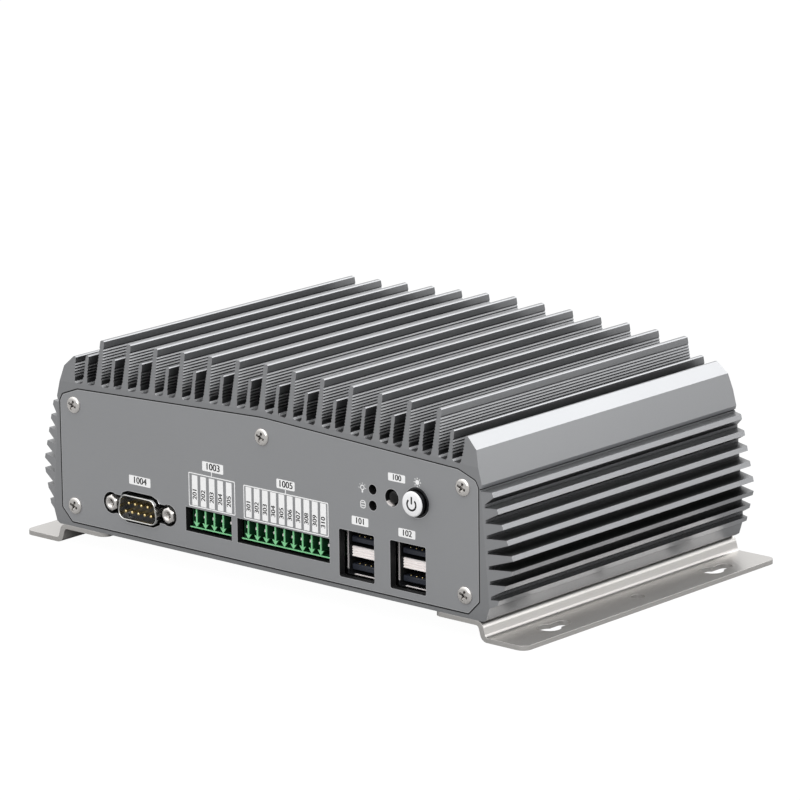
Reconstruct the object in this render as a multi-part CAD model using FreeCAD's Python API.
"""Fanless industrial computer: a finned aluminium housing on two sheet-steel brackets.

Frame: X runs across the front panel, Y from front to rear and Z up. The origin lies on
the mounting surface, under the middle of the housing. All lengths are in millimetres.
"""
import FreeCAD, Part

import math
import os

Vector = FreeCAD.Vector

# ---------------------------------------------------------------- driving dimensions
# Housing and end panels
housing_depth = 125.5
panel_width = 175.8
panel_side_height = 44.0        # at the panel's sides, where the roof slope ends
roof_rise = 3.6                 # from the sides to the ridge in the middle
panel_thickness = 2.5
panel_gap = 0.45                # dark line between panel and extrusions
panel_seat = 1.5                # step that the panel rests against
panel_bottom_chamfer = 4.2
panel_top_facet_width = 7.9
panel_top_facet_drop = 4.3
rim_bottom = 1.7                # extrusion wall visible under the panel
rim_top = 2.1                   # deck visible over the panel

# Brackets
bracket_height = 6.35
bracket_sheet = 1.5
bracket_screw_margin = 9.2      # from the inner edge to the screws
bracket_screw_gap = 0.4         # from the screws' centres to the lower screw channels
bracket_riser_gap = 2.5         # from the panel's side to the riser's foot
bracket_riser_lean = 1.4
bracket_bend_radius = 1.2
bracket_corner_radius = 3.0
mount_hole_reach = 8.0          # from the riser's foot
mount_hole_margin = 7.3         # to the flange's outer edge
keyhole_round_radius = 3.7
keyhole_slot_radius = 2.3
keyhole_travel = 6.6
keyhole_pitch = 81.0
mount_pattern_shift = 1.0
centre_hole_radius = 2.25

# Top heatsink
tall_fin_pairs = 6
fin_edge_margin = 11.2          # from the last short fin to the panel's side
tall_fin_height = 14.5
tall_fin_base = 2.9
tall_fin_top = 1.65
short_fin_height = 9.2
short_fin_base = 2.0
short_fin_top = 1.3
fin_corner = 0.3
fin_root = 0.6
rib_pitch = 0.93
rib_depth = 0.3
rib_clear_bottom = 2.0
rib_clear_top = 2.2
fin_end_setback = 2.5           # at the top of a tall fin
cap_height = 8.4                # end cap over the channel floor
cap_top_width = 0.4
cap_shoulder = (3.85, 3.5)       # out and down from the cap's top
cap_facet = (2.75, 10.3)          # out and down from the shoulder

# Lower extrusion with its side fins
split_height = 39.3             # joint between the extrusions, over the panel's bottom edge
joint_shadow = 0.4
wall_top_offset = 1.0           # wall outside the panel's side at the joint
wall_foot_offset = 4.1          # and at the foot
wall_foot_height = 2.9
foot_inset = (1.2, 2.4)         # foot bevel, out and up from the underside's corner
side_fin_count = 8
side_fin_pitch = 4.71
side_notch_top = 34.4
side_notch_width = 1.0
side_fin_tip = 1.55
side_tip_below_notch = 0.55     # tip's upper edge under the middle of the notch over it
side_root_offset = 2.2          # first notch's root outside the panel's side
side_root_spread = 0.38         # further out at each notch below
belly_offset = 11.4             # widest point of the fins outside the panel's side
belly_height = 16.6
belly_slope_up = 0.3185
belly_slope_down = 0.393
side_end_slant = 0.38

# Screw channels and screws
channel_radius = 3.4
screw_radius = 1.45
bore_clearance = 0.05
panel_hole_clearance = 0.15
upper_screw_inset = 5.9         # from the panel's side
upper_screw_height = 39.1
lower_screw_inset = 5.4
lower_screw_height = 5.3
middle_screw_height = 41.6
screw_head_radius = 3.0
screw_head_rise = 0.9
screw_face_radius = 1.7
screw_length = 10.0
hex_head_radius = 2.9
hex_head_height = 1.8
bracket_screw_y = (-45.0, 0.0, 45.0)
small_sides = 6                 # sides of pins, shanks and small bores
head_sides = 12                 # sides of screw heads and other small round parts
lobe_sides = 16                 # sides of larger round parts that are hidden
control_sides = 24              # sides of the buttons and the bezel

# Main board; connectors hang under it
board_underside = 18.0          # over the panel's bottom edge
board_thickness = 1.6
board_side_gap = 4.9            # from the board's edge to the panel's side
board_edge_gap = 4.0            # and to the panel
standoff_across = 5.5
standoff_inset = (9.0, 26.0)
standoff_stud_share = 0.6       # of the housing floor's thickness
standoff_bore = 7.0
board_screw_grip = 5.0

# Parts on the main board: width, depth and height; their depths run on from the rear edge
processor_x = -34.0
processor_size = (31.0, 27.0, 2.0)
pad_thickness = 0.5
pad_inset = 2.0
spreader_size = (42.0, 52.0)
spreader_gap = 5.8              # to the storage module
spreader_foot_overhang = 3.0
spreader_knee = 6.0
card_slot_clearance = 0.05
memory_x = 27.5
memory_shift = -10.0            # from the processor's middle
memory_size = (67.6, 30.0, 1.2)
memory_level = 1.8
memory_chip = (9.0, 12.0, 0.9)
memory_chip_places = (-25.0, -9.0, 9.0, 25.0)
memory_latch_width = 2.4
socket_height = 4.0
socket_depth = 7.0
storage_size = (42.0, 20.4, 0.8)
storage_edge_gap = 2.05         # to the board's rear edge
storage_level = 2.5
storage_chip = (12.0, 12.0, 1.2)
storage_chip_places = (-7.0, 9.0)
storage_screw_inset = 2.5
storage_spacer_radius = 2.2
battery_x = 58.0
battery_shift = 22.0            # from the processor's middle
battery_radius = 10.0
battery_height = 3.2
battery_cup_wall = 1.3
battery_cup_height = 4.2
battery_cup_floor = 1.0

# Serial ports
serial_height = 9.2
front_serial_x = -53.4
jackscrew_spacing = 25.0
serial_recess = 4.4
serial_shell_width = 17.9
serial_shell_height = 8.4
serial_shell_reach = 5.9
serial_shell_wall = 0.5
serial_shell_radius = 2.7
serial_shell_slope = 10.0       # degrees, at the narrow row's sides
serial_corner_steps = 2
serial_flange = (30.8, 12.5, 0.9)
serial_cutout_margin = 1.0      # round the shell
serial_lobe_radius = 3.6        # round the jackscrews
serial_floor_recess = 2.0       # from the panel's face to the insulator
serial_body = (19.0, 8.0)       # behind the flange: width and depth
serial_rows = ((-1, 5), (1, 4))
serial_pin_pitch = 2.77
serial_row_gap = 2.84
serial_pin_radius = 0.5
serial_pin_recess = 0.4
jackscrew_across = 4.8
jackscrew_reach = 5.0
jackscrew_thread_radius = 1.2
jackscrew_shank = 6.0
jackscrew_floor = 0.5

# Pluggable terminal headers
terminal_pitch = 3.81
small_header_poles = 5
small_header_x = -23.4
large_header_poles = 10
large_header_x = 8.3
header_recess = 0.5
header_depth = 9.0
header_floor = 6.6
header_mouth = 6.0
header_wall = 0.6
header_back_wall = 1.2
header_key = (0.28, 0.95, 1.5)  # half web, half barb and the barb's height
header_pin_height = 10.5
header_pin_width = 0.9
header_pin_recess = 1.7
header_clearance = 0.35

# Stacked sockets
usb_left_x = 38.85
usb_right_x = 59.7
usb_cutout = (14.4, 15.3)
usb_cutout_bottom = 2.3
usb_cutout_corner = 0.4
usb_recess = 3.1
usb_shell = (13.2, 17.5)
usb_shell_bottom = 2.5
usb_wall = 0.4
usb_back_wall = 1.0
usb_port_height = 5.5
usb_port_ceiling = 0.7
usb_tongue = (11.1, 1.9, 9.0)
usb_tongue_recess = 1.2
usb_tongue_lift = 0.9
usb_contact = (1.0, 0.25)
usb_contact_pitch = 2.35

# Controls
lamp_x = 45.7
lamp_heights = (32.3, 27.2)
lamp_hole_radius = 1.6
lamp_radius = 1.45
lamp_recess = 1.8
lamp_dome = (0.8, 1.0)          # radius at its top, height
lamp_collar = (1.9, 1.2)
reset_position = (53.5, 31.0)
reset_hole_radius = 2.75
reset_radius = 2.1
reset_reach = 1.0
power_position = (63.6, 31.2)
power_hole_radius = 4.8
power_radius = 4.0
power_edge = 0.4
power_reach = 2.6
power_stem_radius = 2.2
bezel_clearance = 0.2
bezel_reach = 0.25
bezel_flange = (1.6, 1.0)
button_shoulder = 1.0
button_board_recess = 11.0
button_board_top = 36.5
button_board_overhang = (6.0, 8.0)
switch_body_size = (6.0, 4.0)
switch_bore_depth = 2.8
plunger_radius = 1.7
plunger_length = 2.8
plunger_reach = 1.0

# Rear connectors, from left to right as seen from the front
rear_power_x = -70.0
rear_power_poles = 3
rear_power_pitch = 5.08
rear_video_x = -52.0
rear_usb_x = -33.0
rear_lan_x = (-14.5, 3.0)
rear_serial_x = (30.0, 63.0)
lan_body = (15.9, 13.5, 21.0)
lan_recess = 0.3
lan_mouth = (11.8, 8.0, 13.0)
lan_mouth_lift = 2.2
lan_key = (6.4, 1.2)
lan_contact_count = 8
lan_contact = (0.4, 0.9, 4.0)   # width, height and recess
lan_contact_pitch = 1.02
video_body = (15.0, 5.7, 12.0)
video_recess = 0.4
video_drop = 0.4                # from the board to the shell
video_wall = 0.4
video_taper = (1.7, 2.0)
video_leg = (1.0, 2.0, 8.0)     # width, depth and place behind the mouth
video_tongue = (10.4, 1.0, 1.5)
video_tongue_lift = 2.6
video_margin = 0.6

# ---------------------------------------------------------------- derived levels
half_depth = housing_depth / 2
half_width = panel_width / 2
fin_pitch = (half_width - fin_edge_margin) / (tall_fin_pairs + 0.5)
upper_screw = (half_width - upper_screw_inset, upper_screw_height)
lower_screw = (half_width - lower_screw_inset, lower_screw_height)
bracket_screw_line = lower_screw[0] - channel_radius - bracket_screw_gap
bracket_inner_edge = bracket_screw_line - bracket_screw_margin
bracket_riser_foot = half_width + bracket_riser_gap
mount_hole_line = bracket_riser_foot + mount_hole_reach
bracket_half_span = mount_hole_line + mount_hole_margin
housing_bottom = bracket_height
panel_bottom = housing_bottom + rim_bottom
ridge = panel_bottom + panel_side_height + roof_rise
roof_slope = roof_rise / half_width
split = panel_bottom + split_height
channel_floor = ridge + rim_top
floor_top = panel_bottom + panel_seat
standoff_stud = standoff_stud_share * (rim_bottom + panel_seat)
ceiling = ridge - panel_seat * math.hypot(1, roof_slope)
board_bottom = panel_bottom + board_underside
board_top = board_bottom + board_thickness
board_half_width = half_width - board_side_gap
board_half_depth = half_depth - panel_thickness - board_edge_gap
storage_y = board_half_depth - storage_edge_gap - storage_size[1] / 2
processor_y = storage_y - storage_size[1] / 2 - spreader_gap - spreader_size[1] / 2
processor_place = (processor_x, processor_y)
storage_place = (processor_x, storage_y)
memory_place = (memory_x, processor_y + memory_shift)
battery_place = (battery_x, processor_y + battery_shift)
bore_radius = screw_radius + bore_clearance
seam = 0.02                     # least clearance between pieces that only meet
beyond = 5.0                    # how far cutting tools run past a surface


# ---------------------------------------------------------------- shape helpers
def rounded_wire(points, place):
    """Closed wire through (u, v) or (u, v, radius) corners; place turns (u, v) into a point."""
    corners = [(Vector(p[0], p[1], 0), p[2] if len(p) > 2 else 0.0) for p in points]
    edges = []
    starts = []
    ends = []
    arcs = []
    for i, (corner, radius) in enumerate(corners):
        before = corners[i - 1][0] - corner
        after = corners[(i + 1) % len(corners)][0] - corner
        if radius <= 0:
            starts.append(corner)
            ends.append(corner)
            arcs.append(None)
            continue
        half_turn = before.getAngle(after) / 2
        reach = radius / math.tan(half_turn)
        before.normalize()
        after.normalize()
        middle = before + after
        middle.normalize()
        apex = corner + middle * (radius / math.sin(half_turn) - radius)
        starts.append(corner + before * reach)
        ends.append(corner + after * reach)
        arcs.append(apex)
    for i, apex in enumerate(arcs):
        if apex is not None:
            edges.append(Part.Arc(place(starts[i]), place(apex), place(ends[i])).toShape())
        following = starts[(i + 1) % len(starts)]
        if (following - ends[i]).Length > 1e-6:
            edges.append(Part.LineSegment(place(ends[i]), place(following)).toShape())
    return Part.Wire(edges)


def prism_y(points, y, length):
    """Solid with an (x, z) outline, from y over the given length along +Y."""
    wire = rounded_wire(points, lambda p: Vector(p.x, y, p.y))
    return Part.Face(wire).extrude(Vector(0, length, 0))


def prism_z(points, z, length):
    """Solid with an (x, y) outline, from z over the given length along +Z."""
    wire = rounded_wire(points, lambda p: Vector(p.x, p.y, z))
    return Part.Face(wire).extrude(Vector(0, 0, length))


def block(x_low, x_high, y_low, y_high, z_low, z_high):
    """Rectangular block between two opposite corners."""
    size = Vector(x_high - x_low, y_high - y_low, z_high - z_low)
    return Part.makeBox(size.x, size.y, size.z, Vector(x_low, y_low, z_low))


def rod_y(x, z, radius, y_low, y_high):
    """Round bar along Y."""
    return Part.makeCylinder(radius, y_high - y_low, Vector(x, y_low, z), Vector(0, 1, 0))


def rod_z(x, y, radius, z_low, z_high):
    """Round bar along Z."""
    return Part.makeCylinder(radius, z_high - z_low, Vector(x, y, z_low))


def polygon(u, v, radius, sides):
    """Corner list of a regular polygon, with a flat side at the bottom."""
    angles = [math.pi * (2 * i + 1) / sides - math.pi / 2 for i in range(sides)]
    return [(u + radius * math.cos(a), v + radius * math.sin(a)) for a in angles]


def bar_y(x, z, radius, y_low, y_high, sides=small_sides):
    """Many-sided bar along Y, for small parts that repeat."""
    return prism_y(polygon(x, z, radius, sides), y_low, y_high - y_low)


def bar_z(x, y, radius, z_low, z_high, sides=small_sides):
    """Many-sided bar along Z, for small parts that repeat."""
    return prism_z(polygon(x, y, radius, sides), z_low, z_high - z_low)


def taper_y(x, z, start_radius, end_radius, y_low, y_high, sides=head_sides):
    """Many-sided frustum along Y, with flat sides."""
    near = [Vector(u, y_low, v) for u, v in polygon(x, z, start_radius, sides)]
    far = [Vector(u, y_high, v) for u, v in polygon(x, z, end_radius, sides)]
    loops = [near, far]
    loops += [[near[i - 1], near[i], far[i], far[i - 1]] for i in range(sides)]
    faces = [Part.Face(Part.makePolygon(loop + loop[:1])) for loop in loops]
    return Part.makeSolid(Part.makeShell(faces))


def rectangle(x, z, width, height, radius=0.0):
    """Corner list of a rectangle about a centre."""
    half_w = width / 2
    half_h = height / 2
    signs = ((-1, -1), (1, -1), (1, 1), (-1, 1))
    return [(x + sx * half_w, z + sz * half_h, radius) for sx, sz in signs]


def bevelled_rectangle(x, z, width, height, bevel):
    """Corner list of a rectangle about a centre, with bevelled corners."""
    corners = []
    for sx, sz in ((-1, -1), (1, -1), (1, 1), (-1, 1)):
        side = (x + sx * width / 2, z + sz * (height / 2 - bevel))
        end = (x + sx * (width / 2 - bevel), z + sz * height / 2)
        corners += [side, end] if sx * sz > 0 else [end, side]
    return corners


def softened(points, radius, steps):
    """Corner list with each corner replaced by chords of an arc."""
    corners = [Vector(p[0], p[1], 0) for p in points]
    result = []
    for i, corner in enumerate(corners):
        arrive = (corners[i - 1] - corner).normalize()
        leave = (corners[(i + 1) % len(corners)] - corner).normalize()
        half_turn = arrive.getAngle(leave) / 2
        middle = (arrive + leave).normalize()
        centre = corner + middle * (radius / math.sin(half_turn))
        first = corner + arrive * (radius / math.tan(half_turn)) - centre
        last = corner + leave * (radius / math.tan(half_turn)) - centre
        sweep = math.atan2(first.x * last.y - first.y * last.x, first.dot(last))
        for step in range(steps + 1):
            angle = sweep * step / steps
            x = first.x * math.cos(angle) - first.y * math.sin(angle)
            y = first.x * math.sin(angle) + first.y * math.cos(angle)
            result.append((centre.x + x, centre.y + y))
    return result


def hexagon(x, z, across):
    """Corner list of a hexagon with the given width across its flats."""
    return polygon(x, z, across / math.sqrt(3), 6)


def grown(points, distance):
    """Outline with every edge moved out by a distance, negative for inwards."""
    corners = [Vector(p[0], p[1], 0) for p in points]
    count = len(corners)
    area = sum(corners[i - 1].x * corners[i].y - corners[i].x * corners[i - 1].y
               for i in range(count))
    side = 1 if area > 0 else -1
    result = []
    for i, corner in enumerate(corners):
        arrive = (corner - corners[i - 1]).normalize()
        leave = (corners[(i + 1) % count] - corner).normalize()
        normal_in = Vector(arrive.y, -arrive.x, 0) * side
        normal_out = Vector(leave.y, -leave.x, 0) * side
        shift = (normal_in + normal_out) * (distance / (1 + normal_in.dot(normal_out)))
        moved = corner + shift
        result.append((moved.x, moved.y) + tuple(points[i][2:]))
    return result


def mirrored(shape):
    """Copy of a shape on the other side of the housing."""
    return shape.mirror(Vector(0, 0, 0), Vector(1, 0, 0))


def both_sides(shape):
    """A shape and its mirror image across the housing."""
    return [shape, mirrored(shape)]


def turned(shape):
    """Copy of a front-end shape turned about Z to the rear end."""
    copy = shape.copy()
    copy.rotate(Vector(0, 0, 0), Vector(0, 0, 1), 180)
    return copy


def fuse(shapes):
    """One solid from touching shapes."""
    return shapes[0].multiFuse(shapes[1:]).removeSplitter()


def cut(shape, tools):
    """Shape with a list of tools taken away."""
    return shape.cut(Part.makeCompound(tools))


def front(depth):
    """Y at a depth behind the front panel's outer face."""
    return depth - half_depth


def height(z):
    """Z at a height over the panels' bottom edge."""
    return panel_bottom + z


# ---------------------------------------------------------------- housing
def roof(level, x):
    """Z of a roof surface that is at the given level in the middle."""
    return level - roof_slope * abs(x)


def panel_outline():
    """Outline of an end panel: bevelled bottom corners, shallow gable, faceted top corners."""
    side = half_width
    top = panel_bottom + panel_side_height
    facet_x = side - panel_top_facet_width
    right = [(side - panel_bottom_chamfer, panel_bottom, 1.0),
             (side, panel_bottom + panel_bottom_chamfer, 1.0),
             (side, top - panel_top_facet_drop, 1.5),
             (side - 0.15 * panel_top_facet_width, top - 0.5 * panel_top_facet_drop, 1.5),
             (facet_x, roof(ridge, facet_x), 3.0)]
    left = [(-p[0],) + p[1:] for p in reversed(right)]
    return right + [(0, ridge, 60.0)] + left


def cavity():
    """Through space inside the extrusions, stepped in from the panels."""
    plain = [p[:2] for p in grown(panel_outline(), -panel_seat)]
    return prism_y(plain, -housing_depth, 2 * housing_depth)


def panel_pockets():
    """Recesses in both ends of the extrusions that the panels sit in."""
    outline = grown(panel_outline(), panel_gap)
    pocket = prism_y(outline, front(-1), 1 + panel_thickness)
    return [pocket, turned(pocket)]


def fin_side(x, base, tip, z_root, z_top):
    """Corners up a fin's right side, from its root to its top, with fine ribs."""
    span = z_top - z_root

    def side(z, inset=0.0):
        share = (z - z_root) / span
        return (x + (base + (tip - base) * share) / 2 - inset, z)

    ribs = round((span - rib_clear_bottom - rib_clear_top) / rib_pitch)
    corners = [(x + base / 2 + fin_root, z_root), side(z_root + fin_root)]
    for i in range(ribs):
        crest = z_root + rib_clear_bottom + i * rib_pitch
        corners.append(side(crest))
        corners.append(side(crest + rib_pitch / 2, rib_depth))
    corners.append(side(z_root + rib_clear_bottom + ribs * rib_pitch))
    corners.append(side(z_top - fin_corner))
    corners.append((side(z_top)[0] - fin_corner, z_top))
    return corners


def fin(x, base, tip, fin_height):
    """Corners of a whole fin from left to right."""
    z_root = roof(channel_floor, x)
    right = fin_side(x, base, tip, z_root, z_root + fin_height)
    left = [(2 * x - p[0], p[1]) for p in right]
    return left + right[::-1]


def cap_x():
    """Place of the end cap's inner rib face, one half pitch past the last short fin."""
    return (tall_fin_pairs + 1) * fin_pitch


def heatsink_contour():
    """Outside of the top extrusion, from the left joint over the fins to the right one."""
    x = cap_x()
    z_root = roof(channel_floor, x)
    z_top = z_root + cap_height
    inner = fin_side(-x, tall_fin_base, tall_fin_top, z_root, z_top)
    inner = [(-p[0], p[1]) for p in inner]
    top_x = inner[-1][0] + cap_top_width + fin_corner
    shoulder = (top_x + cap_shoulder[0], z_top - cap_shoulder[1])
    facet = (shoulder[0] + cap_facet[0], shoulder[1] - cap_facet[1])
    right_cap = inner + [(top_x, z_top), shoulder, facet, (half_width + wall_top_offset, split)]
    left_cap = [(-p[0], p[1]) for p in reversed(right_cap)]
    contour = list(left_cap)
    for i in range(-tall_fin_pairs, tall_fin_pairs + 1):
        centre = i * fin_pitch
        contour += fin(centre - fin_pitch / 2, short_fin_base, short_fin_top, short_fin_height)
        contour += fin(centre, tall_fin_base, tall_fin_top, tall_fin_height)
    contour += fin((tall_fin_pairs + 0.5) * fin_pitch, short_fin_base, short_fin_top,
                   short_fin_height)
    return contour + right_cap


def fin_end_cutters():
    """Wedges that slant the upper fins' ends back, following the roof."""
    rise = channel_floor + tall_fin_height + 2 * beyond
    slant = fin_end_setback / tall_fin_height
    triangle = [Vector(0, front(0), channel_floor),
                Vector(0, front(slant * (rise - channel_floor)), rise),
                Vector(0, front(-beyond), rise),
                Vector(0, front(-beyond), channel_floor)]
    face = Part.Face(Part.makePolygon(triangle + triangle[:1]))
    reach = bracket_half_span
    wedge = face.extrude(Vector(reach, 0, -roof_slope * reach))
    wedges = both_sides(wedge)
    return wedges + [turned(w) for w in wedges]


def screw_channel(x, z, z_wall):
    """Tubular screw channel with the web that joins it to a wall above or below."""
    low = min(z, z_wall)
    high = max(z, z_wall)
    web = block(x - channel_radius, x + channel_radius, front(panel_thickness),
                -front(panel_thickness), low, high)
    return [bar_y(x, z, channel_radius, front(panel_thickness), -front(panel_thickness)), web]


def screw_bore(x, z):
    """Hole for the screws of both panels, along the whole extrusion."""
    return bar_y(x, z, bore_radius, -housing_depth, housing_depth)


def make_top_heatsink():
    """Top extrusion: ribbed fins, faceted end caps, and three screw channels."""
    solid = prism_y(heatsink_contour(), front(0), housing_depth)
    solid = cut(solid, [cavity()])
    x, z = upper_screw
    parts = [solid]
    for side in (-1, 1):
        parts += screw_channel(side * x, height(z), roof(ceiling, x) + 0.5 * panel_seat)
    parts += screw_channel(0, height(middle_screw_height), ceiling)
    solid = fuse(parts)
    shadow_x = half_width + wall_top_offset - joint_shadow
    shadow = block(shadow_x, shadow_x + beyond, -housing_depth, housing_depth,
                   split - 1, split + joint_shadow)
    bores = [screw_bore(-x, height(z)), screw_bore(x, height(z)),
             screw_bore(0, height(middle_screw_height))]
    return cut(solid, fin_end_cutters() + panel_pockets() + both_sides(shadow) + bores)


def side_envelope(z):
    """How far the side fins' tips reach at a height over the panel's bottom edge."""
    rise = z - belly_height
    slope = belly_slope_up if rise > 0 else belly_slope_down
    return half_width + belly_offset - slope * abs(rise)


def side_wall(z):
    """Outer wall line behind the side fins."""
    share = (split_height - z) / (split_height - wall_foot_height)
    return half_width + wall_top_offset + (wall_foot_offset - wall_top_offset) * share


def base_contour_right():
    """Right outside of the lower extrusion, from the joint down to the underside."""
    contour = [(side_wall(split_height), height(split_height)),
               (side_wall(split_height - 0.4), height(split_height - 0.4))]
    tip = split_height - 0.5
    for i in range(side_fin_count):
        contour.append((side_envelope(tip), height(tip)))
        tip_low = tip - side_fin_tip
        contour.append((side_envelope(tip_low), height(tip_low)))
        if i < side_fin_count - 1:
            notch = side_notch_top - i * side_fin_pitch
            root = half_width + side_root_offset + i * side_root_spread
            contour.append((root, height(notch + side_notch_width / 2)))
            contour.append((root, height(notch - side_notch_width / 2)))
            tip = notch - side_tip_below_notch
    foot = side_wall(wall_foot_height)
    contour.append((foot, height(wall_foot_height)))
    contour.append((foot - foot_inset[0], housing_bottom + foot_inset[1] / 3))
    contour.append((foot - 2.1 * foot_inset[0], housing_bottom))
    return contour


def side_end_cutters():
    """Wedges that slant the side fins' ends back from the wall."""
    low = wall_foot_height
    reach = belly_offset + beyond
    corners = [Vector(side_wall(low), front(0), height(low)),
               Vector(side_wall(low) + reach, front(side_end_slant * reach), height(low)),
               Vector(side_wall(low) + reach, front(-beyond), height(low)),
               Vector(side_wall(low), front(-beyond), height(low))]
    face = Part.Face(Part.makePolygon(corners + corners[:1]))
    run = Vector(side_wall(split_height) - side_wall(low), 0, split_height - low)
    wedges = both_sides(face.extrude(run))
    return wedges + [turned(w) for w in wedges]


def bracket_screw_places():
    """Centres of the screws that hold the brackets to the housing floor."""
    return [(side * bracket_screw_line, y) for side in (-1, 1) for y in bracket_screw_y]


def make_base_extrusion():
    """Lower extrusion: floor and flared side walls with tapered horizontal fins."""
    right = base_contour_right()
    left = [(-p[0],) + p[1:] for p in reversed(right)]
    solid = prism_y(right + left, front(0), housing_depth)
    solid = cut(solid, [cavity()])
    x, z = lower_screw
    parts = [solid]
    for side in (-1, 1):
        parts += screw_channel(side * x, height(z), floor_top - 0.5 * panel_seat)
    solid = fuse(parts)
    bores = [screw_bore(-x, height(z)), screw_bore(x, height(z))]
    bores += [bar_z(px, py, bore_radius, 0, floor_top + 1)
              for px, py in bracket_screw_places()]
    bores += [bar_z(px, py, bore_radius, floor_top - standoff_stud - seam, floor_top + 1)
              for px, py in standoff_places()]
    return cut(solid, side_end_cutters() + panel_pockets() + bores)


# ---------------------------------------------------------------- end panels
def screw_places():
    """Panel screw centres: four corners and the top middle."""
    corners = [(side * x, height(z)) for side in (-1, 1) for x, z in (upper_screw, lower_screw)]
    return corners + [(0, height(middle_screw_height))]


def blank_panel():
    """Panel with its screw holes."""
    plate = prism_y(panel_outline(), front(0), panel_thickness)
    tools = [bar_y(x, z, screw_radius + panel_hole_clearance, front(-1),
                   front(panel_thickness + 1)) for x, z in screw_places()]
    return cut(plate, tools)


def panel_screws():
    """Five screws of the front panel, with raised heads on its face."""
    screws = []
    for x, z in screw_places():
        head = taper_y(x, z, screw_face_radius, screw_head_radius, front(-screw_head_rise),
                       front(0))
        shank = bar_y(x, z, screw_radius, front(-screw_head_rise / 2), front(screw_length))
        screws.append(fuse([head, shank]))
    return screws


def serial_cutout(x):
    """Panel opening with the form of a serial port's flange and shell."""
    z = height(serial_height)
    low = front(-1)
    high = front(panel_thickness + 1)
    lobes = [bar_y(x + side * jackscrew_spacing / 2, z, serial_lobe_radius, low, high, lobe_sides)
             for side in (-1, 1)]
    half_bridge = serial_lobe_radius * math.sin(math.pi / 3)
    bridge = block(x - jackscrew_spacing / 2, x + jackscrew_spacing / 2, low, high,
                   z - half_bridge, z + half_bridge)
    mouth = prism_y(shell_outline(x, -serial_cutout_margin), low, high - low)
    return fuse(lobes + [bridge, mouth])


def slot_cutout(x, z_low, width, tall, bevel=0.0):
    """Rectangular panel opening from a level over the panel's lower edge."""
    z = height(z_low) + tall / 2
    outline = bevelled_rectangle(x, z, width, tall, bevel) if bevel else rectangle(x, z, width, tall)
    return prism_y(outline, front(-1), panel_thickness + 2)


def header_cutout(x, poles, pitch):
    """Panel opening of a terminal header."""
    low = header_floor - header_wall - header_clearance
    opening = header_mouth + 2 * header_wall + 2 * header_clearance
    return slot_cutout(x, low, poles * pitch + 2 * header_clearance, opening)


def usb_opening(x):
    """Panel opening of a stacked pair of sockets."""
    return slot_cutout(x, usb_cutout_bottom, *usb_cutout, usb_cutout_corner)


def make_front_panel():
    """Front panel with the openings of its ports, lamps and buttons."""
    through = (front(-1), front(panel_thickness + 1))
    tools = [serial_cutout(front_serial_x),
             header_cutout(small_header_x, small_header_poles, terminal_pitch),
             header_cutout(large_header_x, large_header_poles, terminal_pitch),
             usb_opening(usb_left_x),
             usb_opening(usb_right_x),
             rod_y(reset_position[0], height(reset_position[1]), reset_hole_radius, *through),
             rod_y(power_position[0], height(power_position[1]), power_hole_radius, *through)]
    tools += [rod_y(lamp_x, height(z), lamp_hole_radius, *through) for z in lamp_heights]
    return cut(blank_panel(), tools)


def make_rear_panel():
    """Rear panel, modelled at the front end and turned round."""
    lan_low = board_underside - lan_body[1] - header_clearance
    lan_opening = (lan_body[0] + 2 * header_clearance, lan_body[1] + 2 * header_clearance)
    video_low = board_underside - video_body[1] - video_drop - video_margin
    video_opening = (video_body[0] + 2 * video_margin, video_body[1] + 2 * video_margin)
    tools = [serial_cutout(-x) for x in rear_serial_x]
    tools += [slot_cutout(-x, lan_low, *lan_opening) for x in rear_lan_x]
    tools += [header_cutout(-rear_power_x, rear_power_poles, rear_power_pitch),
              usb_opening(-rear_usb_x),
              slot_cutout(-rear_video_x, video_low, *video_opening, usb_cutout_corner)]
    return turned(cut(blank_panel(), tools))


# ---------------------------------------------------------------- brackets
def keyhole(x, y):
    """Keyhole through the lower flange; y is the middle of its whole length."""
    whole = keyhole_round_radius + keyhole_travel + keyhole_slot_radius
    entry = y - whole / 2 + keyhole_round_radius
    slot_end = entry + keyhole_travel
    neck = entry + math.sqrt(keyhole_round_radius ** 2 - keyhole_slot_radius ** 2)
    left = x - keyhole_slot_radius
    right = x + keyhole_slot_radius
    corners = [Vector(left, neck, -1), Vector(right, neck, -1), Vector(right, slot_end, -1),
               Vector(left, slot_end, -1)]
    wire = Part.Wire([
        Part.Arc(corners[0], Vector(x, entry - keyhole_round_radius, -1), corners[1]).toShape(),
        Part.LineSegment(corners[1], corners[2]).toShape(),
        Part.Arc(corners[2], Vector(x, slot_end + keyhole_slot_radius, -1), corners[3]).toShape(),
        Part.LineSegment(corners[3], corners[0]).toShape()])
    return Part.Face(wire).extrude(Vector(0, 0, bracket_sheet + 2))


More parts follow.
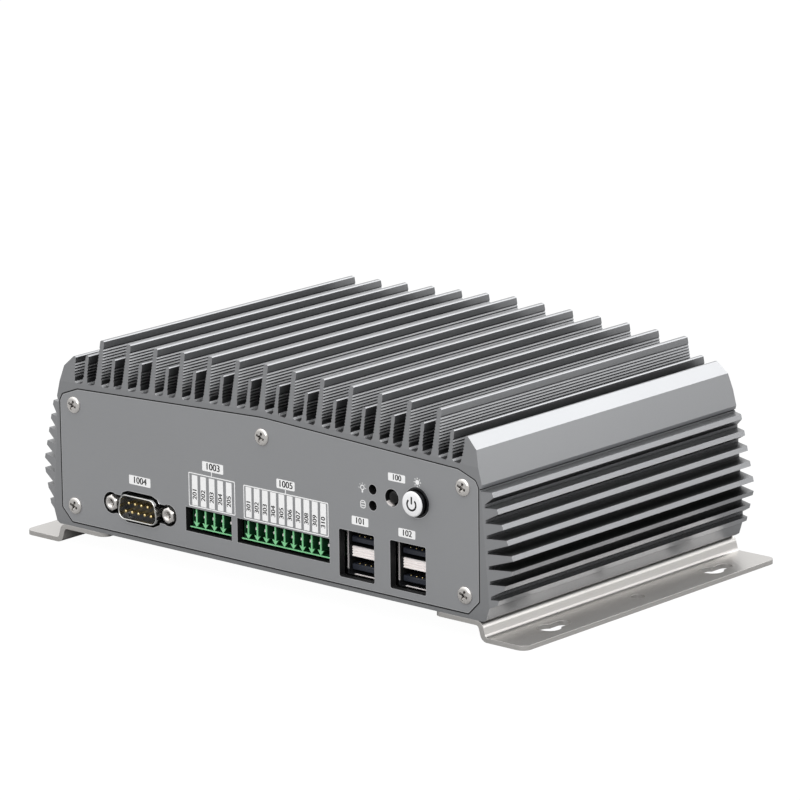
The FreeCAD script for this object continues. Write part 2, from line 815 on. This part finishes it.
def make_right_bracket():
    """Folded Z-section foot: flange under the housing, riser, and drilled mounting flange."""
    inner = bracket_bend_radius
    outer = bracket_bend_radius + bracket_sheet
    foot = bracket_riser_foot
    head = foot - bracket_riser_lean
    top = bracket_height
    section = [(bracket_half_span, 0),
               (bracket_half_span, bracket_sheet),
               (foot, bracket_sheet, inner),
               (head, top, outer),
               (bracket_inner_edge, top),
               (bracket_inner_edge, top - bracket_sheet),
               (head - bracket_sheet, top - bracket_sheet, inner),
               (foot - bracket_sheet, 0, outer)]
    sheet = prism_y(section, front(0), housing_depth)
    corners = rectangle((bracket_inner_edge + bracket_half_span) / 2, 0,
                        bracket_half_span - bracket_inner_edge, housing_depth,
                        bracket_corner_radius)
    sheet = sheet.common(prism_z(corners, -1, bracket_height + 2))
    tools = [keyhole(mount_hole_line, mount_pattern_shift + side * keyhole_pitch / 2)
             for side in (-1, 1)]
    tools.append(rod_z(mount_hole_line, mount_pattern_shift, centre_hole_radius, -1, 3))
    tools += [bar_z(x, y, screw_radius + panel_hole_clearance, 0, bracket_height + 1)
              for x, y in bracket_screw_places() if x > 0]
    return cut(sheet, tools)


def make_left_bracket():
    """Left bracket: the right one mirrored."""
    return mirrored(make_right_bracket())


def make_bracket_screws():
    """Hexagonal-headed screws under the brackets' upper flanges."""
    screws = []
    under = bracket_height - bracket_sheet
    for x, y in bracket_screw_places():
        head = bar_z(x, y, hex_head_radius, under - hex_head_height, under)
        shank = bar_z(x, y, screw_radius, under - hex_head_height / 2, floor_top)
        screws.append(fuse([head, shank]))
    return screws


# ---------------------------------------------------------------- boards and inner parts
def standoff_places():
    """Centres of the four posts that carry the main board."""
    x = board_half_width - standoff_inset[0]
    y = half_depth - standoff_inset[1]
    return [(sx * x, sy * y) for sx in (-1, 1) for sy in (-1, 1)]


def on_board(place, size, lift=0.0):
    """Block on the main board, from its middle, its three sizes and its level."""
    x, y = place
    width, depth, tall = size
    low = board_top + lift
    return block(x - width / 2, x + width / 2, y - depth / 2, y + depth / 2, low, low + tall)


def make_main_board():
    """Main circuit board with its post holes."""
    board = block(-board_half_width, board_half_width, -board_half_depth, board_half_depth,
                  board_bottom, board_top)
    holes = [bar_z(x, y, bore_radius + bore_clearance, board_bottom - 1, board_top + 1)
             for x, y in standoff_places()]
    return cut(board, holes)


def make_standoffs():
    """Hexagonal posts between the housing floor and the main board."""
    posts = []
    for x, y in standoff_places():
        post = prism_z(hexagon(x, y, standoff_across), floor_top, board_bottom - floor_top)
        stud = bar_z(x, y, screw_radius, floor_top - standoff_stud, floor_top + 1)
        bore = bar_z(x, y, bore_radius, board_bottom - standoff_bore, board_bottom + 1)
        posts.append(fuse([post, stud]).cut(bore))
    return posts


def make_board_screws():
    """Screws that hold the main board to its posts."""
    screws = []
    for x, y in standoff_places():
        head = bar_z(x, y, hex_head_radius, board_top, board_top + hex_head_height)
        shank = bar_z(x, y, screw_radius, board_bottom - board_screw_grip,
                      board_top + hex_head_height / 2)
        screws.append(fuse([head, shank]))
    return screws


def make_processor():
    """Processor package on the upper side of the main board."""
    return on_board(processor_place, processor_size)


def make_thermal_pad():
    """Thin pad between the processor and the heat spreader."""
    width, depth, tall = processor_size
    size = (width - 2 * pad_inset, depth - 2 * pad_inset, pad_thickness)
    return on_board(processor_place, size, tall)


def make_heat_spreader():
    """Aluminium block that carries the processor's heat up to the roof."""
    x, y = processor_place
    width, depth = spreader_size
    low = board_top + processor_size[2] + pad_thickness
    left = x - width / 2
    right = x + width / 2
    foot = processor_size[0] / 2 + spreader_foot_overhang
    knee = low + spreader_knee
    section = [(x - foot, low), (x + foot, low), (right, knee), (right, roof(ceiling, right)),
               (left, roof(ceiling, left)), (left, knee)]
    return prism_y(section, y - depth / 2, depth)


def card_slot(x_low, x_high, y_low, y_high, level, thickness):
    """Slot for a card's edge in a socket on the main board."""
    low = board_top + level - card_slot_clearance
    return block(x_low, x_high, y_low, y_high, low, low + thickness + 2 * card_slot_clearance)


def make_memory_socket():
    """Edge socket of the memory module with its two latch arms."""
    x, y = memory_place
    width, depth, thickness = memory_size
    half = width / 2
    near = y - depth / 2
    reach = half + memory_latch_width + card_slot_clearance
    bar = on_board((x, near + 2 - socket_depth / 2), (2 * reach, socket_depth, socket_height))
    arm_x = reach - memory_latch_width / 2
    arms = [on_board((x + side * arm_x, y), (memory_latch_width, depth, socket_height))
            for side in (-1, 1)]
    slot = card_slot(x - half - card_slot_clearance, x + half + card_slot_clearance,
                     near - 2, y + depth, memory_level, thickness)
    return cut(fuse([bar] + arms), [slot])


def make_memory_module():
    """Memory module lying in its socket, with chips on its upper side."""
    x, y = memory_place
    width, depth, thickness = memory_size
    in_socket = 2 - card_slot_clearance
    card = on_board((x, y - in_socket / 2), (width, depth + in_socket, thickness), memory_level)
    chips = [on_board((x + place, y + 2), memory_chip, memory_level + thickness)
             for place in memory_chip_places]
    return fuse([card] + chips)


def make_storage_socket():
    """Edge socket of the storage module."""
    x, y = storage_place
    length, width, thickness = storage_size
    end = x + length / 2
    bar = on_board((end + socket_depth / 2 - 1, y), (socket_depth, width + 2, socket_height))
    half = width / 2 + card_slot_clearance
    slot = card_slot(end - 2, end + 3, y - half, y + half, storage_level, thickness)
    return bar.cut(slot)


def make_storage_module():
    """Storage module: a bare card with memory chips, held by one screw."""
    x, y = storage_place
    length, width, thickness = storage_size
    in_socket = 3 - card_slot_clearance
    card = on_board((x + in_socket / 2, y), (length + in_socket, width, thickness),
                    storage_level)
    chips = [on_board((x + place, y), storage_chip, storage_level + thickness)
             for place in storage_chip_places]
    hole = bar_z(x - length / 2 + storage_screw_inset, y, bore_radius + bore_clearance,
                 board_top, board_top + socket_height)
    return fuse([card] + chips).cut(hole)


def make_storage_screw():
    """Spacer and screw that hold down the storage module's free end."""
    x, y = storage_place
    place = (x - storage_size[0] / 2 + storage_screw_inset, y)
    level = board_top + storage_level
    top = level + storage_size[2]
    spacer = bar_z(*place, storage_spacer_radius, board_top, level)
    shank = bar_z(*place, screw_radius, board_top + 1, top + 1)
    head = bar_z(*place, storage_spacer_radius, top, top + hex_head_height)
    return fuse([spacer, shank, head])


def make_battery_holder():
    """Cup for the clock battery."""
    x, y = battery_place
    inside = battery_radius + bore_clearance
    cup = bar_z(x, y, inside + battery_cup_wall, board_top, board_top + battery_cup_height,
                lobe_sides)
    return cup.cut(bar_z(x, y, inside, board_top + battery_cup_floor, board_top + beyond,
                         lobe_sides))


def make_clock_battery():
    """Coin cell in its holder."""
    x, y = battery_place
    low = board_top + battery_cup_floor
    return bar_z(x, y, battery_radius, low, low + battery_height, lobe_sides)


# ---------------------------------------------------------------- ports
def shell_outline(x, shrink=0.0):
    """D-shaped outline of a serial port's shell, wide side down."""
    z = height(serial_height)
    half_h = serial_shell_height / 2
    wide = serial_shell_width / 2
    narrow = wide - serial_shell_height * math.tan(math.radians(serial_shell_slope))
    corners = [(x - wide, z - half_h), (x + wide, z - half_h),
               (x + narrow, z + half_h), (x - narrow, z + half_h)]
    return softened(grown(corners, -shrink), serial_shell_radius - shrink, serial_corner_steps)


def jackscrews_x(x):
    """Places of a serial port's two jackscrews."""
    return [x + side * jackscrew_spacing / 2 for side in (-1, 1)]


def serial_shell(x):
    """Flanged sheet-metal shell of a serial port."""
    z = height(serial_height)
    flange_front = front(serial_recess)
    width, tall, sheet = serial_flange
    rim = flange_front - serial_shell_reach
    flange = prism_y(bevelled_rectangle(x, z, width, tall, sheet), flange_front, sheet)
    sleeve = prism_y(shell_outline(x), rim, serial_shell_reach + sheet)
    hollow = prism_y(shell_outline(x, serial_shell_wall), rim - 1,
                     serial_shell_reach + sheet + 2)
    holes = [bar_y(place, z, bore_radius + bore_clearance, flange_front - 1, flange_front + 2)
             for place in jackscrews_x(x)]
    return cut(fuse([flange, sleeve]), holes + [hollow])


def serial_insulator(x):
    """Insulating body of a serial port, with its face inside the shell."""
    z = height(serial_height)
    behind = front(serial_recess) + serial_flange[2]
    face = front(serial_floor_recess)
    plug = prism_y(shell_outline(x, serial_shell_wall + seam), face, behind - face)
    width, depth = serial_body
    body = block(x - width / 2, x + width / 2, behind, behind + depth,
                 z - serial_flange[1] / 2, board_bottom)
    return fuse([plug, body])


def serial_pins(x):
    """Pins of a serial port, in two rows with the longer one down."""
    z = height(serial_height)
    tip = front(serial_recess - serial_shell_reach + serial_pin_recess)
    pins = []
    for row, count in serial_rows:
        for i in range(count):
            pin_x = x + (i - (count - 1) / 2) * serial_pin_pitch
            pins.append(bar_y(pin_x, z + row * serial_row_gap / 2, serial_pin_radius, tip,
                              front(serial_floor_recess)))
    return pins


def serial_jackscrews(x, bar=bar_y):
    """Two hexagonal jackscrews with open threads, bored by the given kind of bar."""
    z = height(serial_height)
    flange_front = front(serial_recess)
    tip = flange_front - jackscrew_reach
    screws = []
    for place in jackscrews_x(x):
        post = prism_y(hexagon(place, z, jackscrew_across), tip, jackscrew_reach)
        shank = bar_y(place, z, screw_radius, flange_front - jackscrew_floor,
                      flange_front + jackscrew_shank)
        thread = bar(place, z, jackscrew_thread_radius, tip - 1,
                     flange_front - jackscrew_floor)
        screws.append(fuse([post, shank]).cut(thread))
    return screws


def key_outline(x, floor_z, top_z):
    """Arrow-shaped key between two poles of a header."""
    web, barb, barb_height = header_key
    barb_z = floor_z + barb_height
    return [(x, floor_z), (x + barb, barb_z), (x + web, barb_z), (x + web, top_z),
            (x - web, top_z), (x - web, barb_z), (x - barb, barb_z)]


def terminal_header(x, poles, pitch):
    """Open-fronted terminal header under the board, with keyed cells and its pins."""
    half = poles * pitch / 2
    floor_z = height(header_floor)
    top_z = floor_z + header_mouth
    y_front = front(header_recess)
    y_wall = y_front + header_depth - header_back_wall
    body = block(x - half, x + half, y_front, y_front + header_depth,
                 floor_z - header_wall, top_z + header_wall)
    shoulder_front = front(panel_thickness) + header_wall
    shoulder = block(x - half, x + half, shoulder_front, y_front + header_depth,
                     top_z, board_bottom)
    mouth = block(x - half + header_wall, x + half - header_wall, y_front - 1, y_wall,
                  floor_z, top_z)
    outline_low = floor_z - header_wall / 3
    outline_top = top_z + header_wall / 3
    keys = [prism_y(key_outline(x - half + i * pitch, outline_low, outline_top), y_front,
                    header_depth - header_back_wall) for i in range(1, poles)]
    body = fuse([cut(fuse([body, shoulder]), [mouth])] + keys)
    pin_z = height(header_pin_height)
    half_pin = header_pin_width / 2
    pins = []
    for i in range(poles):
        px = x - half + (i + 0.5) * pitch
        pins.append(block(px - half_pin, px + half_pin, y_front + header_pin_recess, y_wall,
                          pin_z - half_pin, pin_z + half_pin))
    return body, pins


def usb_port_levels():
    """Lower edges of the two ports of a stack, over the panel's lower edge."""
    return (usb_shell_bottom + usb_wall,
            board_underside - usb_port_ceiling - usb_port_height)


def usb_shell_box(x):
    """Folded metal shell round a stacked pair of sockets."""
    width, depth = usb_shell
    y_front = front(usb_recess)
    shell = block(x - width / 2, x + width / 2, y_front, y_front + depth,
                  height(usb_shell_bottom), board_bottom)
    half_port = width / 2 - usb_wall
    ports = [block(x - half_port, x + half_port, y_front - 1, y_front + depth - usb_back_wall,
                   height(z), height(z + usb_port_height)) for z in usb_port_levels()]
    return cut(shell, ports)


def usb_tongues(x):
    """Contact carriers of a stacked pair of sockets, low in each port."""
    width, depth = usb_shell
    tongue_w, tongue_t, tongue_d = usb_tongue
    half_root = width / 2 - usb_wall - seam
    tip = front(usb_recess + usb_tongue_recess)
    back = front(usb_recess) + depth - usb_back_wall
    tongues = []
    for level in usb_port_levels():
        z = height(level)
        root = block(x - half_root, x + half_root, tip + tongue_d, back, z + seam,
                     z + usb_port_height - seam)
        tongue = block(x - tongue_w / 2, x + tongue_w / 2, tip, back - usb_back_wall,
                       z + usb_tongue_lift, z + usb_tongue_lift + tongue_t)
        tongues.append(fuse([root, tongue]))
    return tongues


def usb_contacts(x):
    """Contact strips on top of the tongues."""
    tongue_t, tongue_d = usb_tongue[1:]
    width, thickness = usb_contact
    tip = front(usb_recess + usb_tongue_recess)
    contacts = []
    for level in usb_port_levels():
        z = height(level) + usb_tongue_lift + tongue_t
        for i in range(4):
            place = x + (i - 1.5) * usb_contact_pitch
            contacts.append(block(place - width / 2, place + width / 2, tip + width,
                                  tip + tongue_d, z, z + thickness))
    return contacts


def lan_jack(x):
    """Shielded network jack under the board: body and contact springs."""
    width, tall, depth = lan_body
    mouth_w, mouth_h, mouth_d = lan_mouth
    key_w, key_h = lan_key
    y_front = front(lan_recess)
    y_end = y_front + mouth_d
    low = board_bottom - tall
    mouth_low = low + lan_mouth_lift
    mouth_top = mouth_low + mouth_h
    body = block(x - width / 2, x + width / 2, y_front, y_front + depth, low, board_bottom)
    mouth = block(x - mouth_w / 2, x + mouth_w / 2, y_front - 1, y_end, mouth_low, mouth_top)
    key = block(x - key_w / 2, x + key_w / 2, y_front - 1, y_end, mouth_low - key_h, mouth_low)
    spring_w, spring_h, spring_recess = lan_contact
    contacts = []
    for i in range(lan_contact_count):
        place = x + (i - (lan_contact_count - 1) / 2) * lan_contact_pitch
        contacts.append(block(place - spring_w / 2, place + spring_w / 2,
                              y_front + spring_recess, y_end, mouth_top - spring_h, mouth_top))
    return cut(body, [fuse([mouth, key])]), contacts


def video_outline(x, shrink=0.0):
    """Outline of the flat video socket, with bevelled lower corners."""
    width, tall = video_body[:2]
    taper_w, taper_h = video_taper
    low = board_bottom - tall - video_drop
    half = width / 2 - shrink
    top = low + tall - shrink
    return [(x - half + taper_w, low + shrink), (x + half - taper_w, low + shrink),
            (x + half, low + taper_h), (x + half, top), (x - half, top),
            (x - half, low + taper_h)]


def video_socket(x):
    """Flat video socket under the board: shell with its legs, and tongue."""
    width, tall, depth = video_body
    y_front = front(video_recess)
    low = board_bottom - tall - video_drop
    leg_w, leg_d, leg_place = video_leg
    legs = [block(x + side * width / 2 - leg_w / 2, x + side * width / 2 + leg_w / 2,
                  y_front + leg_place, y_front + leg_place + leg_d, low + tall / 2,
                  board_bottom) for side in (-1, 1)]
    hollow = prism_y(video_outline(x, video_wall), y_front - 1, depth)
    shell = fuse([prism_y(video_outline(x), y_front, depth)] + legs).cut(hollow)
    tongue_w, tongue_t, tongue_recess = video_tongue
    tongue_low = low + video_tongue_lift
    tongue = block(x - tongue_w / 2, x + tongue_w / 2, y_front + tongue_recess,
                   y_front + depth - 1, tongue_low, tongue_low + tongue_t)
    return shell, tongue


# ---------------------------------------------------------------- controls
def make_button_board():
    """Upright board behind the panel that carries both switches and the lamps."""
    y = front(button_board_recess)
    left, right = button_board_overhang
    return block(lamp_x - left, power_position[0] + right, y, y + board_thickness, board_top,
                 height(button_board_top))


def button_centre(position):
    """X and Z of a button from its place on the panel."""
    return position[0], height(position[1])


def switch_body(position):
    """Square switch on the upright board, bored for its plunger."""
    x, z = button_centre(position)
    side, depth = switch_body_size
    y_high = front(button_board_recess)
    body = block(x - side / 2, x + side / 2, y_high - depth, y_high, z - side / 2, z + side / 2)
    bore = bar_y(x, z, plunger_radius + 2 * bore_clearance, y_high - depth - 1,
                 y_high - depth + switch_bore_depth)
    return body.cut(bore)


def plunger_face():
    """Y at which the buttons' stems meet the switch plungers."""
    return front(button_board_recess) - switch_body_size[1] - plunger_reach


def switch_plunger(position):
    """Plunger of a switch, from the button's stem into the switch body."""
    x, z = button_centre(position)
    return bar_y(x, z, plunger_radius, plunger_face(), plunger_face() + plunger_length)


def make_power_bezel():
    """Ring that lines the power button's hole, flanged behind the panel."""
    x, z = button_centre(power_position)
    flange_width, flange_thickness = bezel_flange
    behind = front(panel_thickness)
    sleeve = bar_y(x, z, power_hole_radius - bore_clearance, front(-bezel_reach),
                   behind + flange_thickness, control_sides)
    flange = bar_y(x, z, power_hole_radius + flange_width, behind, behind + flange_thickness,
                   head_sides)
    inside = bar_y(x, z, power_radius + bezel_clearance, front(-bezel_reach - 1),
                   behind + beyond, control_sides)
    return fuse([sleeve, flange]).cut(inside)


def make_power_button():
    """Round cap with a retaining shoulder behind the bezel and a stem to its switch."""
    x, z = button_centre(power_position)
    shoulder = front(panel_thickness) + bezel_flange[1] + bore_clearance
    face_y = front(-power_reach)
    face = taper_y(x, z, power_radius - power_edge, power_radius, face_y,
                   face_y + power_edge, control_sides)
    cap = bar_y(x, z, power_radius, face_y + power_edge, shoulder, control_sides)
    rim = bar_y(x, z, power_radius + button_shoulder, shoulder, shoulder + button_shoulder,
                head_sides)
    stem = bar_y(x, z, power_stem_radius, shoulder, plunger_face())
    return fuse([face, cap, rim, stem])


def make_reset_button():
    """Small round button with a retaining shoulder behind the panel."""
    x, z = button_centre(reset_position)
    shoulder = front(panel_thickness) + bore_clearance
    cap = bar_y(x, z, reset_radius, front(-reset_reach), plunger_face(), control_sides)
    rim = bar_y(x, z, reset_hole_radius + button_shoulder, shoulder, shoulder + button_shoulder,
                head_sides)
    return fuse([cap, rim])


def make_status_lamps():
    """Two round lamps whose domes stand behind the panel's small holes."""
    dome_radius, dome_height = lamp_dome
    collar_radius, collar_depth = lamp_collar
    back = front(button_board_recess)
    lamps = []
    for level in lamp_heights:
        z = height(level)
        tip = front(lamp_recess)
        dome = taper_y(lamp_x, z, dome_radius, lamp_radius, tip, tip + dome_height)
        barrel = bar_y(lamp_x, z, lamp_radius, tip + dome_height, back, head_sides)
        collar = bar_y(lamp_x, z, collar_radius, back - collar_depth, back, head_sides)
        lamps.append(fuse([dome, barrel, collar]))
    return lamps


# ---------------------------------------------------------------- assembly
def usb_nodes(name, x):
    """Named shapes of one stacked pair of sockets."""
    return {
        name + "_usb_shell": [usb_shell_box(x)],
        name + "_usb_tongues": usb_tongues(x),
        name + "_usb_contacts": usb_contacts(x),
    }


def front_ports():
    """Named shapes of the front connectors."""
    small, small_pins = terminal_header(small_header_x, small_header_poles, terminal_pitch)
    large, large_pins = terminal_header(large_header_x, large_header_poles, terminal_pitch)
    nodes = {
        "front_serial_shell": [serial_shell(front_serial_x)],
        "front_serial_insulator": [serial_insulator(front_serial_x)],
        "front_serial_pins": serial_pins(front_serial_x),
        "front_serial_jackscrews": serial_jackscrews(front_serial_x, rod_y),
        "small_terminal_header": [small],
        "small_terminal_pins": small_pins,
        "large_terminal_header": [large],
        "large_terminal_pins": large_pins,
    }
    nodes.update(usb_nodes("left", usb_left_x))
    nodes.update(usb_nodes("right", usb_right_x))
    return nodes


def rear_ports():
    """Named shapes of the rear connectors, made at the front end and turned round."""
    nodes = {"rear_serial_shells": [], "rear_serial_insulators": [], "rear_serial_pins": [],
             "rear_serial_jackscrews": [], "lan_jacks": [], "lan_contacts": []}
    for x in rear_serial_x:
        nodes["rear_serial_shells"].append(serial_shell(-x))
        nodes["rear_serial_insulators"].append(serial_insulator(-x))
        nodes["rear_serial_pins"] += serial_pins(-x)
        nodes["rear_serial_jackscrews"] += serial_jackscrews(-x)
    for x in rear_lan_x:
        jack, contacts = lan_jack(-x)
        nodes["lan_jacks"].append(jack)
        nodes["lan_contacts"] += contacts
    nodes.update(usb_nodes("rear", -rear_usb_x))
    shell, tongue = video_socket(-rear_video_x)
    nodes["video_socket_shell"] = [shell]
    nodes["video_socket_tongue"] = [tongue]
    header, pins = terminal_header(-rear_power_x, rear_power_poles, rear_power_pitch)
    nodes["power_header"] = [header]
    nodes["power_header_pins"] = pins
    return {name: [turned(shape) for shape in shapes] for name, shapes in nodes.items()}


def housing_nodes():
    """Named shapes of the housing, its screws and its brackets."""
    screws = panel_screws()
    return {
        "top_heatsink": [make_top_heatsink()],
        "base_extrusion": [make_base_extrusion()],
        "front_panel": [make_front_panel()],
        "rear_panel": [make_rear_panel()],
        "left_bracket": [make_left_bracket()],
        "right_bracket": [make_right_bracket()],
        "front_panel_screws": screws,
        "rear_panel_screws": [turned(s) for s in screws],
        "bracket_screws": make_bracket_screws(),
    }


def inner_nodes():
    """Named shapes of the boards and what they carry."""
    return {
        "main_board": [make_main_board()],
        "board_standoffs": make_standoffs(),
        "board_screws": make_board_screws(),
        "processor": [make_processor()],
        "thermal_pad": [make_thermal_pad()],
        "heat_spreader": [make_heat_spreader()],
        "memory_socket": [make_memory_socket()],
        "memory_module": [make_memory_module()],
        "storage_socket": [make_storage_socket()],
        "storage_module": [make_storage_module()],
        "storage_screw": [make_storage_screw()],
        "battery_holder": [make_battery_holder()],
        "clock_battery": [make_clock_battery()],
    }


def control_nodes():
    """Named shapes of the buttons, switches and lamps."""
    return {
        "button_board": [make_button_board()],
        "power_bezel": [make_power_bezel()],
        "power_button": [make_power_button()],
        "power_switch_plunger": [switch_plunger(power_position)],
        "power_switch": [switch_body(power_position)],
        "reset_button": [make_reset_button()],
        "reset_switch_plunger": [switch_plunger(reset_position)],
        "reset_switch": [switch_body(reset_position)],
        "status_lamps": make_status_lamps(),
    }


def main():
    """Build every node and write one STEP file each."""
    os.makedirs("parts", exist_ok=True)
    nodes = {}
    for group in (housing_nodes(), inner_nodes(), front_ports(), control_nodes(), rear_ports()):
        nodes.update(group)
    for name, shapes in nodes.items():
        shape = shapes[0] if len(shapes) == 1 else Part.makeCompound(shapes)
        shape.exportStep("parts/" + name + ".step")


main()
